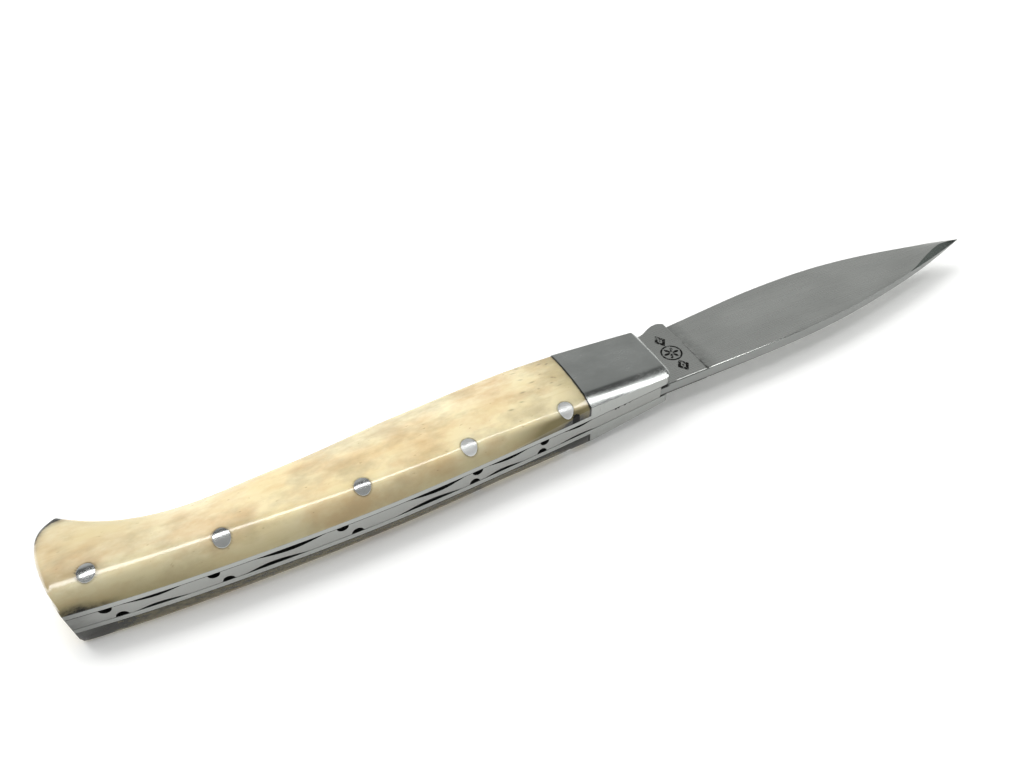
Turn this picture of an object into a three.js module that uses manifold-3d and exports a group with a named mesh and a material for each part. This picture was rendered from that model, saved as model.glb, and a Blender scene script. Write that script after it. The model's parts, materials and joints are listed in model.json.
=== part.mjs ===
// A slip-joint folding knife with bone scales, open and lying on its side.
//
// X runs from the butt to the tip, Y from the spine to the cutting edge, and Z through the thickness.
// The pieces are drawn with X = 0 at the joint between bone and bolster, Y = 0 near the spine there and
// Z = 0 in the middle of the blade. The last lines stand the finished knife on Z = 0, centred in X and Y.
// All sizes are in millimetres.

import * as THREE from 'three';
import { ConvexGeometry } from 'three/addons/geometries/ConvexGeometry.js';
import { mergeVertices } from 'three/addons/utils/BufferGeometryUtils.js';
import Module from 'manifold-3d';

const wasm = await Module();
wasm.setup();

// Layers, from the middle outwards.
const SLOT_WIDTH = 3.0;
const LINER_THICK = 1.0;
const SCALE_THICK = 3.8;
const BLADE_CLEARANCE = 0.08;
const SPRING_CLEARANCE = 0.02;
const SLOT_HALF = SLOT_WIDTH / 2;
const LINER_FACE = SLOT_HALF + LINER_THICK;
const HANDLE_FACE = LINER_FACE + SCALE_THICK;
const BLADE_HALF = SLOT_HALF - BLADE_CLEARANCE;
const SPRING_HALF = SLOT_HALF - SPRING_CLEARANCE;

// Handle.
const BOLSTER_LENGTH = 19.8;
const BOLSTER_FRONT_HALF = 4.3;
const BOLSTER_CORNER = 1.8;
const CORNER_START = BOLSTER_LENGTH - BOLSTER_CORNER;
const SCALE_GAP = 0.1;
const SCALE_ROUNDING = 2.0;
const BOLSTER_ROUNDING = 0.7;
const HANDLE_SPINE = [[0, -0.5], [-20, -1.6], [-43, -2.35], [-66, -1.75], [-83, -0.6], [-95.7, 0.9]];
const BUTT_END = [[-97.3, 5.6], [-98.7, 12.6], [-97.6, 18.4]];
const BEAK = [-94.8, 20.9];
const HANDLE_BELLY = [[-90.5, 18.0], [-84, 14.9], [-75.4, 13.1], [-62, 13.5], [-52, 14.1], [-40, 15.4],
  [-25, 16.4], [-11, 16.9], [0, 16.5]];
const SPINE_AT_FRONT = 0.8;
const BELLY_AT_FRONT = 15.7;

// Pivot and tang. Both flats are equally far from the pivot, so the spine is flush open and closed.
const PIVOT = [12.5, 11.4];
const PIVOT_PIN_RADIUS = 1.8;
const PIVOT_PIN_HALF = 3.7;
const TANG_FLAT = 4.7;
const CAM_LIFT = 1.0;
const CAM_RADIUS = TANG_FLAT + CAM_LIFT;
const SPRING_END_X = 17.2;
const STOP_GAP = 0.08;
const RUNNING_GAP = 0.06;

// Blade.
const BLADE_SPINE_Y = 0.9;
const PLUNGE_X = 29.6;
const GRIND_START_X = PLUNGE_X - 1;
const TIP = [112.3, 11.1];
const SPINE_HALF_AT_PLUNGE = 1.34;
const SPINE_HALF_AT_TIP = 0.22;
const EDGE_HALF = 0.1;
const HEEL_HALF = 0.25;
const KICK = [[PLUNGE_X, 16.3], [28.9, 16.6], [28.4, 17.4], [27.6, 17.95], [25.6, 17.7], [23.6, 16.7]];
const KICK_FOOT_X = 21.9;
const BLADE_SPINE = [[GRIND_START_X, BLADE_SPINE_Y], [50, 1.05], [66.4, 2.1], [80.2, 4.0], [96.1, 7.0],
  [105.3, 9.2], TIP];
const BLADE_EDGE = [[PLUNGE_X + 0.8, 17.3], [40, 18.2], [51, 19.1], [60.5, 19.45], [70, 19.25], [81, 18.2],
  [92, 16.2], [102.5, 13.6], TIP];

// Back spring: its inner edge, from behind the nose to the butt.
const NOSE_REAR_X = 8;
const SPRING_INNER = [[6.2, 4.6], [-4.5, 4.6], [-9, 3.1], [-20, 2.1], [-34, 2.0], [-41, 2.9], [-49, 2.9],
  [-57, 3.9], [-67, 5.3], [-75, 6.6], [-84, 7.8], [-89.5, 9.4], [-91.6, 14]];
const SPRING_BUTT = [[-95.5, 15.2], [-98.1, 15.2]];
const SPRING_END_MARGIN = 1.0;

// Pins. The first three go right through and hold the spring; the others only join a scale to its liner.
const THROUGH_PINS = { butt_pin: [-90.5, 5.1], rear_pin: [-69.6, 2.0], spring_pin: [-45.3, 1.3] };
const SHORT_RIVETS = { front_rivet: [-25.0, 1.1], bolster_rivet: [-4.9, 1.0] };
const PIN_RADIUS = 0.9;
const PIN_HEAD_RADIUS = 1.5;
const PIN_HEAD_DEPTH = 1.2;
const PIN_CLEARANCE = 0.08;

// How many straight steps stand in for each curve.
const ROUND_SEGMENTS = 20;
const SPINE_STEPS = 22;
const BUTT_STEPS = 6;
const BELLY_STEPS = 26;
const CORNER_STEPS = 4;
const ROUNDING_STEPS = 4;
const CAM_STEPS = 14;
const BLADE_SPINE_STEPS = 16;
const BLADE_EDGE_STEPS = 20;
const SPRING_STEPS = 36;

// Cutting blocks, and the distance within which vertices are one.
const BIG = 300;
const WASTE_DEPTH = 20;
const MERGE_DISTANCE = 1e-4;

// Solids.

function solid(geometry) {
  const bare = geometry.clone();
  bare.deleteAttribute('normal');
  bare.deleteAttribute('uv');
  const merged = mergeVertices(bare, MERGE_DISTANCE);
  const vertProperties = new Float32Array(merged.attributes.position.array);
  const triVerts = new Uint32Array(merged.index.array);
  return new wasm.Manifold(new wasm.Mesh({ numProp: 3, vertProperties, triVerts }));
}

function geometryOf(body) {
  const mesh = body.getMesh();
  const geometry = new THREE.BufferGeometry();
  geometry.setAttribute('position', new THREE.Float32BufferAttribute(mesh.vertProperties, 3));
  geometry.setIndex(new THREE.Uint32BufferAttribute(mesh.triVerts, 1));
  return geometry;
}

function block(x0, x1, y0, y1, z0, z1) {
  const box = new THREE.BoxGeometry(x1 - x0, y1 - y0, z1 - z0);
  return solid(box.translate((x0 + x1) / 2, (y0 + y1) / 2, (z0 + z1) / 2));
}

function plate(shape, z0, z1) {
  const options = { depth: z1 - z0, bevelEnabled: false, curveSegments: ROUND_SEGMENTS };
  return solid(new THREE.ExtrudeGeometry(shape, options).translate(0, 0, z0));
}

// A plate of the given half thickness, with its edges rounded over on both faces.
function pillow(shape, half, rounding) {
  const options = {
    depth: 2 * (half - rounding),
    bevelThickness: rounding,
    bevelSize: rounding,
    bevelOffset: -rounding,
    bevelSegments: ROUNDING_STEPS,
  };
  return solid(new THREE.ExtrudeGeometry(shape, options).translate(0, 0, rounding - half));
}

// A round bar along Z whose radius changes in steps: each step is [z where it ends, radius].
function turned([x, y], zStart, steps) {
  const profile = [new THREE.Vector2(0, zStart)];
  let z = zStart;
  for (const [zEnd, radius] of steps) {
    profile.push(new THREE.Vector2(radius, z), new THREE.Vector2(radius, zEnd));
    z = zEnd;
  }
  profile.push(new THREE.Vector2(0, z));
  const lathe = new THREE.LatheGeometry(profile, ROUND_SEGMENTS);
  return solid(lathe.rotateX(Math.PI / 2).translate(x, y, 0));
}

function points(list) {
  return list.map(([x, y]) => new THREE.Vector2(x, y));
}

// Points along a smooth curve through the list, without its first point.
function along(list, count) {
  return new THREE.SplineCurve(points(list)).getPoints(count).slice(1);
}

function outline(list) {
  return new THREE.Shape(list);
}

// Handle.

function cornerArc(x, y, radius, fromAngle, toAngle) {
  return new THREE.EllipseCurve(x, y, radius, radius, fromAngle, toAngle, true).getPoints(CORNER_STEPS);
}

function spineAndButt() {
  const spine = along([[CORNER_START, SPINE_AT_FRONT], ...HANDLE_SPINE], SPINE_STEPS);
  return [...spine, ...along([HANDLE_SPINE.at(-1), ...BUTT_END, BEAK], BUTT_STEPS)];
}

function handleSides() {
  const belly = [BEAK, ...HANDLE_BELLY, [CORNER_START, BELLY_AT_FRONT]];
  return [...spineAndButt(), ...along(belly, BELLY_STEPS)];
}

function handleShape() {
  const r = BOLSTER_CORNER;
  const bellyCorner = cornerArc(CORNER_START, BELLY_AT_FRONT - r, r, Math.PI / 2, 0).slice(1);
  const spineCorner = cornerArc(CORNER_START, SPINE_AT_FRONT + r, r, 0, -Math.PI / 2);
  return outline([...handleSides(), ...bellyCorner, ...spineCorner]);
}

// The handle's full outline with plain front corners, rounded over as the scales are.
function roundedHandle() {
  const corner = new THREE.Vector2(CORNER_START, SPINE_AT_FRONT);
  return pillow(outline([...handleSides(), corner]), HANDLE_FACE, SCALE_ROUNDING);
}

function linerPlate(side) {
  const [z0, z1] = side > 0 ? [SLOT_HALF, LINER_FACE] : [-LINER_FACE, -SLOT_HALF];
  return plate(handleShape(), z0, z1).subtract(pinHoles()).subtract(pivotBar(RUNNING_GAP));
}

// The half of a body that lies outside one liner.
function outsideLiner(body, side, x0, x1) {
  const z = side > 0 ? [LINER_FACE, BIG] : [-BIG, -LINER_FACE];
  return body.intersect(block(x0, x1, -BIG, BIG, ...z));
}

function scale(side) {
  return outsideLiner(roundedHandle(), side, -BIG, -SCALE_GAP).subtract(pinHoles());
}

// The bolsters thin towards the front, so that their faces fall away to the blade.
function bolster(side) {
  const rounded = pillow(handleShape(), HANDLE_FACE, BOLSTER_ROUNDING);
  const full = outsideLiner(rounded, side, 0, BIG);
  const fall = Math.atan((HANDLE_FACE - BOLSTER_FRONT_HALF) / BOLSTER_LENGTH);
  const waste = new THREE.BoxGeometry(BIG, BIG, WASTE_DEPTH).translate(0, 0, side * WASTE_DEPTH / 2);
  waste.rotateY(side * fall).translate(0, 0, side * HANDLE_FACE);
  return full.subtract(solid(waste)).subtract(pivotBar(RUNNING_GAP));
}

// Pins.

function pivotBar(grow) {
  const half = PIVOT_PIN_HALF + grow;
  return turned(PIVOT, -half, [[half, PIVOT_PIN_RADIUS + grow]]);
}

function throughPin(place, grow) {
  const head = HANDLE_FACE - PIN_HEAD_DEPTH;
  const steps = [
    [-head + grow, PIN_HEAD_RADIUS + grow],
    [head - grow, PIN_RADIUS + grow],
    [HANDLE_FACE + grow, PIN_HEAD_RADIUS + grow],
  ];
  return turned(place, -HANDLE_FACE - grow, steps);
}

function pinHoles() {
  const places = [...Object.values(THROUGH_PINS), ...Object.values(SHORT_RIVETS)];
  return places.map((place) => throughPin(place, PIN_CLEARANCE)).reduce((all, one) => all.add(one));
}

// Pin heads are filed down to the surface of the scales.
function filedFlush(pin) {
  return pin.intersect(roundedHandle());
}

function shortRivet(place, side) {
  const z = side > 0 ? [SLOT_HALF, BIG] : [-BIG, -SLOT_HALF];
  return filedFlush(throughPin(place, 0)).intersect(block(-BIG, BIG, -BIG, BIG, ...z));
}

// Blade.

function tangShape() {
  const [px, py] = PIVOT;
  const flatEnd = Math.acos(TANG_FLAT / CAM_RADIUS);
  const shoulder = SPRING_END_X + STOP_GAP;
  const closedFlat = py + TANG_FLAT;
  const camStart = Math.PI / 2 + flatEnd;
  const camEnd = 1.5 * Math.PI - flatEnd;
  const cam = new THREE.EllipseCurve(px, py, CAM_RADIUS, CAM_RADIUS, camStart, camEnd);
  return outline([
    ...points([[shoulder, py - TANG_FLAT], [shoulder, BLADE_SPINE_Y], [PLUNGE_X, BLADE_SPINE_Y]]),
    ...points([...KICK, [KICK_FOOT_X, closedFlat]]),
    ...cam.getPoints(CAM_STEPS),
  ]);
}

function groundBlade() {
  const corners = [];
  function addPair(x, y, half) {
    corners.push(new THREE.Vector3(x, y, half), new THREE.Vector3(x, y, -half));
  }
  for (const { x, y } of new THREE.SplineCurve(points(BLADE_SPINE)).getPoints(BLADE_SPINE_STEPS)) {
    const reach = (x - PLUNGE_X) / (TIP[0] - PLUNGE_X);
    addPair(x, y, THREE.MathUtils.lerp(SPINE_HALF_AT_PLUNGE, SPINE_HALF_AT_TIP, reach));
  }
  for (const { x, y } of new THREE.SplineCurve(points(BLADE_EDGE)).getPoints(BLADE_EDGE_STEPS)) {
    addPair(x, y, EDGE_HALF);
  }
  addPair(GRIND_START_X, KICK[0][1], HEEL_HALF);
  return solid(new ConvexGeometry(corners));
}

function blade() {
  return plate(tangShape(), -BLADE_HALF, BLADE_HALF).add(groundBlade()).subtract(pivotBar(RUNNING_GAP));
}

// Back spring.

function springShape() {
  const lastX = SPRING_END_X - SPRING_END_MARGIN;
  const lastY = SPRING_BUTT[0][1] - SPRING_END_MARGIN;
  const outer = spineAndButt().filter((p) => p.x < lastX && p.y < lastY);
  const inner = along(SPRING_INNER, SPRING_STEPS).reverse();
  const noseFace = PIVOT[1] - TANG_FLAT - RUNNING_GAP;
  return outline([
    ...points([[SPRING_END_X, BLADE_SPINE_Y]]),
    ...outer,
    ...points([...SPRING_BUTT].reverse()),
    ...inner,
    ...points([SPRING_INNER[0], [NOSE_REAR_X, noseFace], [SPRING_END_X, noseFace]]),
  ]);
}

function backSpring() {
  return plate(springShape(), -SPRING_HALF, SPRING_HALF).subtract(pinHoles());
}

// Assembly.

const BONE = { color: 0xe9dcb8, roughness: 0.3, metalness: 0.0 };
const SATIN_STEEL = { color: 0xb9bbbd, roughness: 0.32, metalness: 1.0 };
const BLADE_STEEL = { color: 0xc3c5c8, roughness: 0.26, metalness: 1.0 };
const PIN_STEEL = { color: 0xd2d3d6, roughness: 0.2, metalness: 1.0 };

const knife = new THREE.Group();

function addPart(name, body, look) {
  const mesh = new THREE.Mesh(geometryOf(body), new THREE.MeshStandardMaterial(look));
  mesh.name = name;
  knife.add(mesh);
}

addPart('blade', blade(), BLADE_STEEL);
addPart('back_spring', backSpring(), SATIN_STEEL);
addPart('pivot_pin', pivotBar(0), PIN_STEEL);
for (const [name, place] of Object.entries(THROUGH_PINS)) {
  addPart(name, filedFlush(throughPin(place, 0)), PIN_STEEL);
}
for (const [sideName, side] of [['upper', 1], ['lower', -1]]) {
  addPart(`liner_${sideName}`, linerPlate(side), SATIN_STEEL);
  addPart(`bolster_${sideName}`, bolster(side), SATIN_STEEL);
  addPart(`scale_${sideName}`, scale(side), BONE);
  for (const [name, place] of Object.entries(SHORT_RIVETS)) {
    addPart(`${name}_${sideName}`, shortRivet(place, side), PIN_STEEL);
  }
}

const extent = new THREE.Box3().setFromObject(knife);
const middle = extent.getCenter(new THREE.Vector3());
knife.position.set(-middle.x, -middle.y, -extent.min.z);

export default knife;
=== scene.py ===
"""Looks for a folding whittling knife: bone scales, steel bolsters, a filed back spring and a blade.

Shapes are drawn in millimetres in the knife's own plan. X = 0 is at the joint between bone and bolster, and
+X runs to the tip. Y = 0 is near the spine, and +Y runs to the cutting edge. Z = 0 is in the middle of the
blade. to_frame() puts them in the frame. side is 1 for the upper half of the handle and -1 for the lower.
"""

import json
import math

import bmesh
import bpy
import numpy as np
from mathutils import Matrix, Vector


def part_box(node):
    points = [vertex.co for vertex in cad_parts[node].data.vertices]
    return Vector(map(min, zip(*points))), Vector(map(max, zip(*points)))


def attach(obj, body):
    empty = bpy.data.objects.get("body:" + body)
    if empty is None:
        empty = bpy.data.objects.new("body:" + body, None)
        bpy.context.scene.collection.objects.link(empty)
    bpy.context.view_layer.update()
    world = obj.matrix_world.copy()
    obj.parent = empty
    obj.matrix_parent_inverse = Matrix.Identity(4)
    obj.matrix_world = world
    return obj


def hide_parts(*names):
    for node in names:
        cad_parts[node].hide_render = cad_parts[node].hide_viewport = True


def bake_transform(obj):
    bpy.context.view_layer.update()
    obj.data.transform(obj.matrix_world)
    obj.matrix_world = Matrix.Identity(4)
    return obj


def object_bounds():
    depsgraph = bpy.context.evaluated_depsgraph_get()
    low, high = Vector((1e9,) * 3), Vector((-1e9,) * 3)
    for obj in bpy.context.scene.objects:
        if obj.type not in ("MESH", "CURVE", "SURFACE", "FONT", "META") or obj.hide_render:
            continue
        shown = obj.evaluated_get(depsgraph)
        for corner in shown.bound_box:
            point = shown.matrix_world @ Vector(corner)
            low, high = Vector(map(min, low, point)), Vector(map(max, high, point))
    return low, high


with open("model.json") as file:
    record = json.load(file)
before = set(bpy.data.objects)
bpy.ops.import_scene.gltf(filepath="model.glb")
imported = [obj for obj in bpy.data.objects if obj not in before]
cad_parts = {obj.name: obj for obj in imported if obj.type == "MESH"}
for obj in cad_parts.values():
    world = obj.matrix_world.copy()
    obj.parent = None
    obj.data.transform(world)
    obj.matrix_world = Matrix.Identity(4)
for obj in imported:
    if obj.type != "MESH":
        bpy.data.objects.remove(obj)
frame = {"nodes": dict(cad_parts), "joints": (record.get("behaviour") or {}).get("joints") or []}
cad_low, cad_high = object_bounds()

# ---------------------------------------------------------------- places

MM = 0.001
PIVOT = (12.5, 11.4)
SIDES = ((1, "upper"), (-1, "lower"))
fold_joint = next(j for j in frame["joints"] if j["name"] == "blade_fold")
flex_joint = next(j for j in frame["joints"] if j["name"] == "spring_flex")
ORIGIN = np.array(fold_joint["pos_m"]) - np.array([PIVOT[0] * MM, PIVOT[1] * MM, 0])


def to_frame(points):
    """Plan millimetres to metres in the frame."""
    return ORIGIN + np.asarray(points, float) * MM


def to_plan(points):
    """Metres in the frame to plan millimetres."""
    return (np.array(points) - ORIGIN) / MM


def plan_box(node):
    """Lowest and highest corner of a CAD node, in plan millimetres."""
    low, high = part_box(node)
    return to_plan(low), to_plan(high)


def plan_centre(node):
    low, high = plan_box(node)
    return (low + high) / 2


SLOT_HALF = plan_box("liner_upper")[0][2]
LINER_FACE = plan_box("liner_upper")[1][2]
HANDLE_FACE = plan_box("scale_upper")[1][2]
BONE_END = plan_box("scale_upper")[1][0]
BOLSTER_START = plan_box("bolster_upper")[0][0]
FRONT = plan_box("bolster_upper")[1][0]
PIN_RADIUS = (plan_box("butt_pin")[1][0] - plan_box("butt_pin")[0][0]) / 2
THROUGH_PINS = ("butt_pin", "rear_pin", "spring_pin")
SHORT_RIVETS = ("front_rivet", "bolster_rivet")
PIN_PLACES = [plan_centre(n) for n in THROUGH_PINS] + [plan_centre(n + "_upper") for n in SHORT_RIVETS]

# ---------------------------------------------------------------- outlines in plan, millimetres

CORNER = 1.8
SPINE_LINE = [(18, 0.8), (0, -0.5), (-20, -1.6), (-43, -2.34), (-66, -1.75), (-83, -0.6), (-95.7, 0.9)]
BUTT_LINE = [(-95.7, 0.9), (-97.3, 5.6), (-98.65, 12.6), (-97.6, 18.4), (-94.8, 20.9)]
BELLY_LINE = [(-94.8, 20.9), (-90.5, 18.0), (-84, 14.9), (-75.4, 13.1), (-62, 13.5), (-52, 14.1),
              (-40, 15.4), (-25, 16.4), (-11, 16.9), (0, 16.5), (18, 15.7)]
BLADE_SPINE = [(17.3, 0.9), (32, 0.9), (50, 1.05), (66.4, 2.1), (80.2, 4.0), (96.1, 7.0), (105.3, 9.2),
               (112.3, 11.1)]
BLADE_EDGE = [(30.2, 17.35), (40, 18.2), (51, 19.1), (60.5, 19.4), (70, 19.25), (81, 18.2), (92, 16.25),
              (102.5, 13.9), (108.5, 12.45), (112.3, 11.1)]
KICK_LINE = [(17.3, 16.1), (21.4, 16.1), (22.6, 16.35), (24.0, 17.0), (25.6, 17.7), (27.0, 17.95),
             (27.8, 17.85), (28.5, 17.45), (29.2, 17.25), (30.2, 17.35)]
NOSE_FOOT = [(-4.5, 4.6), (6.2, 4.6), (8, 6.64)]
SPRING_INNER = [(-4.5, 4.6), (-9, 3.1), (-20, 2.1), (-34, 2.0), (-41, 2.9), (-49, 2.9), (-57, 3.9),
                (-67, 5.3), (-75, 6.6), (-84, 7.8), (-89.5, 9.4)]
SPRING_END = 17.1
STOP_X = 17.28
DENSE = 1200


def smooth_line(points, count):
    """Natural cubic spline through the points, evenly spaced by chord length."""
    p = np.array(points, float)
    t = np.concatenate([[0], np.cumsum(np.hypot(*np.diff(p, axis=0).T))])
    h = np.diff(t)
    n = len(t)
    system = np.eye(n)
    right = np.zeros((n, 2))
    for i in range(1, n - 1):
        system[i, i - 1:i + 2] = h[i - 1], 2 * (h[i - 1] + h[i]), h[i]
        right[i] = 6 * ((p[i + 1] - p[i]) / h[i] - (p[i] - p[i - 1]) / h[i - 1])
    bend = np.linalg.solve(system, right)
    u = np.linspace(0, t[-1], count)
    k = np.clip(np.searchsorted(t, u, side="right") - 1, 0, n - 2)
    after = (u - t[k])[:, None]
    before = (t[k + 1] - u)[:, None]
    span = h[k][:, None]
    curved = (bend[k] * before ** 3 + bend[k + 1] * after ** 3) / (6 * span)
    from_start = (p[k] / span - bend[k] * span / 6) * before
    from_end = (p[k + 1] / span - bend[k + 1] * span / 6) * after
    return curved + from_start + from_end


def height_over(line, axis=0):
    """A function of a place along the axis that gives a smooth line's other coordinate and its slope."""
    dense = smooth_line(line, DENSE)
    order = np.argsort(dense[:, axis])
    along, across = dense[order, axis], dense[order, 1 - axis]
    slope = np.gradient(across, along)

    def at(value):
        return np.interp(value, along, across), np.interp(value, along, slope)

    return at


spine_at = height_over(SPINE_LINE)
belly_at = height_over(BELLY_LINE)
butt_at = height_over(BUTT_LINE, axis=1)
blade_spine_at = height_over(BLADE_SPINE)
blade_edge_at = height_over(BLADE_EDGE)
kick_at = height_over(KICK_LINE)
spring_inner_at = height_over(SPRING_INNER)


def along_line(line_at, x):
    """Plan points on a line at the given X."""
    return np.column_stack([x, line_at(x)[0]])


def edge_distances(x, y):
    """Distance of plan points from the spine, the belly and the butt."""
    spine, spine_slope = spine_at(x)
    belly, belly_slope = belly_at(x)
    butt, butt_slope = butt_at(y)
    n = (y - spine) / np.sqrt(1 + spine_slope ** 2)
    m = (belly - y) / np.sqrt(1 + belly_slope ** 2)
    e = (x - butt) / np.sqrt(1 + butt_slope ** 2)
    return np.maximum(n, 0), np.maximum(m, 0), np.maximum(e, 0)


def smooth_min(a, b, width):
    near = np.clip(width - np.abs(a - b), 0, None) / width
    return np.minimum(a, b) - near ** 2 * width / 4


def smooth_step(t):
    t = np.clip(t, 0, 1)
    return t * t * (3 - 2 * t)


def ramp(x, stops):
    """A value that runs straight between stops given as (x, value)."""
    return np.interp(x, [s[0] for s in stops], [s[1] for s in stops])


def gauss(distance, width):
    return np.exp(-(distance / width) ** 2)


def spot(along, across):
    """1 at the middle of an oval spot, falling off around it."""
    return gauss(np.hypot(along, across), 1.0)


# ---------------------------------------------------------------- handle surface

EDGE_WALL = 0.15
BOLSTER_FRONT_HALF = 4.3
BOLSTER_FALL = [(0, 0.0), (FRONT, HANDLE_FACE - BOLSTER_FRONT_HALF)]
SHOULDER_WIDTH = 3.4
SHOULDER_DROP = 0.8
SHOULDER_BEND = 1.7
SHOULDER = [(-15, 0.0), (0, SHOULDER_DROP), (FRONT, SHOULDER_DROP)]
CROWN = [(-30, 1.7), (0, 0.8), (FRONT, 0.2)]
LOWER_CROWN = 0.25
FULLNESS = {1: [(0, 1.0)], -1: [(-30, LOWER_CROWN), (0, 1.0)]}
FACET_WIDTH = {
    1: [(-97, 3.3), (-60, 3.2), (-45, 3.1), (-30, 2.7), (-20, 2.3), (-9, 1.4), (0, 0.3)],
    -1: [(-97, 0.25), (-85, 0.45), (-75, 0.7), (-45, 1.2), (-20, 1.2), (-9, 0.8), (0, 0.3)],
}
FACET_TOP = [(-97, 5.55), (-45, 5.7), (-20, 5.4), (0, 5.0)]
FACET_RISE = {1: 0.0, -1: 0.4}
FACET_FOOT = [(-18, LINER_FACE + EDGE_WALL), (BONE_END, 4.6)]
RIDGE_WIDTH = [(-97, 2.4), (-80, 1.7), (-60, 1.2), (-20, 0.8), (0, 0.4)]
BELLY_ROUNDING = 3.2
BUTT_ROUNDING = 2.4
BUTT_WALL = {1: [(0, 0.4)], -1: [(0, 2.4), (5, 0.4)]}
BONE_BLEND = 0.6
BOLSTER_ROUNDING = 2.4
BOLSTER_BLEND = 0.4
CHAMFER_DROP = 0.45
CHAMFER_SLOPE = 0.75
CHAMFER_BLEND = 0.12


def crowned_top(x, n, m, fullness=1.0):
    """The top of bone and bolster alike: crowned across, with a shoulder along the bolster's spine."""
    across = (n - m) / np.maximum(n + m, 0.1)
    inside = np.clip(1 - n / SHOULDER_WIDTH, 0, 1)
    crown = ramp(x, CROWN) * fullness * across ** 2
    return HANDLE_FACE - ramp(x, BOLSTER_FALL) - crown - ramp(x, SHOULDER) * inside ** SHOULDER_BEND


def rounded_edge(distance, radius, start, top):
    """Height that rises from start at an edge to top, on a quarter of an ellipse."""
    inside = 1 - np.clip(distance / radius, 0, 1)
    return start + (top - start) * np.sqrt(1 - inside ** 2)


def bone_height(x, y, side):
    """Height of a scale's face above the middle of the knife, at plan points."""
    n, m, e = edge_distances(x, y)
    top = crowned_top(x, n, m, ramp(x, FULLNESS[side]))
    foot = ramp(x, FACET_FOOT)
    facet_top = ramp(x, FACET_TOP) + FACET_RISE[side]
    facet = foot + (facet_top - foot) * n / ramp(x, FACET_WIDTH[side])
    height = smooth_min(top, facet, ramp(x, RIDGE_WIDTH))
    over = HANDLE_FACE + 0.6
    belly = rounded_edge(m, BELLY_ROUNDING, LINER_FACE + 0.5, over)
    butt = rounded_edge(e, BUTT_ROUNDING, LINER_FACE + ramp(n, BUTT_WALL[side]), over)
    height = smooth_min(smooth_min(height, belly, BONE_BLEND), butt, BONE_BLEND)
    return np.maximum(height, LINER_FACE + EDGE_WALL)


def bolster_height(x, y):
    n, m, _ = edge_distances(x, y)
    belly = rounded_edge(m, BOLSTER_ROUNDING, LINER_FACE + 0.7, HANDLE_FACE + 0.4)
    height = smooth_min(crowned_top(x, n, m), belly, BOLSTER_BLEND)
    chamfer = crowned_top(FRONT + 0 * x, n, m) - CHAMFER_DROP + CHAMFER_SLOPE * (FRONT - x)
    return smooth_min(height, chamfer, CHAMFER_BLEND)


# ---------------------------------------------------------------- mesh helpers

def turn_outward(mesh):
    """Turns every face of a closed mesh outward."""
    work = bmesh.new()
    work.from_mesh(mesh)
    bmesh.ops.recalc_face_normals(work, faces=work.faces)
    work.to_mesh(mesh)
    work.free()


def add_mesh(name, vertices, faces, materials, face_slots=None, sharp=32):
    """A closed piece with smooth shading, but for edges sharper than the given angle in degrees."""
    mesh = bpy.data.meshes.new(name)
    mesh.from_pydata(to_frame(vertices).tolist(), [], [tuple(int(i) for i in f) for f in faces])
    for material in materials:
        mesh.materials.append(material)
    if face_slots is not None:
        mesh.polygons.foreach_set("material_index", np.asarray(face_slots, np.int32))
    mesh.polygons.foreach_set("use_smooth", np.ones(len(mesh.polygons), bool))
    turn_outward(mesh)
    mesh.set_sharp_from_angle(angle=math.radians(sharp))
    mesh.update()
    piece = bpy.data.objects.new(name, mesh)
    bpy.context.scene.collection.objects.link(piece)
    return piece


def place_piece(piece, body, node):
    """Puts a piece on its body, and in the place of its CAD node."""
    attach(piece, body)
    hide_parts(node)


def grid_faces(rows, columns):
    """Quads of a grid whose vertex (i, j) is i * columns + j."""
    i, j = np.meshgrid(np.arange(rows - 1), np.arange(columns - 1), indexing="ij")
    a = i * columns + j
    return np.stack([a, a + columns, a + columns + 1, a + 1], axis=-1).reshape(-1, 4)


def ring_faces(rings, size):
    """Quads between rings of the same size that follow each other."""
    i, j = np.meshgrid(np.arange(rings - 1), np.arange(size), indexing="ij")
    a = i * size + j
    b = i * size + (j + 1) % size
    return np.stack([a, b, b + size, a + size], axis=-1).reshape(-1, 4)


def set_attribute(piece, name, values):
    attribute = piece.data.attributes.new(name, "FLOAT", "POINT")
    attribute.data.foreach_set("value", np.asarray(values, np.float32))


def coons_patch(near, far, start, end):
    """Plan grid between four boundary lines. near and far run along u, start and end along v."""
    u = ((near[:, 0] - near[0, 0]) / (near[-1, 0] - near[0, 0]))[:, None, None]
    v = np.linspace(0, 1, len(start))[None, :, None]
    ruled_u = (1 - v) * near[:, None] + v * far[:, None]
    ruled_v = (1 - u) * start[None] + u * end[None]
    at_start = (1 - v) * near[0] + v * far[0]
    at_end = (1 - v) * near[-1] + v * far[-1]
    return ruled_u + ruled_v - (1 - u) * at_start - u * at_end


def cover_solid(name, plan, height, side, materials):
    """A closed solid on a plan grid: a top of the given height, walls round it, and a foot on the liner.

    The walls have the last of the materials.
    """
    rows, columns = plan.shape[:2]
    flat = plan.reshape(-1, 2)
    top = np.column_stack([flat, side * height.reshape(-1)])
    index = np.arange(rows * columns).reshape(rows, columns)
    rim = np.concatenate([index[:, 0], index[-1, 1:], index[-2::-1, -1], index[0, -2:0:-1]])
    base = np.column_stack([flat[rim], np.full(len(rim), side * LINER_FACE)])
    low = len(top) + np.arange(len(rim))
    walls = np.stack([rim, np.roll(rim, -1), np.roll(low, -1), low], axis=-1)
    faces = [tuple(f) for f in grid_faces(rows, columns)] + [tuple(f) for f in walls] + [tuple(low)]
    slots = [0] * ((rows - 1) * (columns - 1)) + [len(materials) - 1] * len(walls) + [0]
    return add_mesh(name, np.vstack([top, base]), faces, materials, slots)


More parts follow.
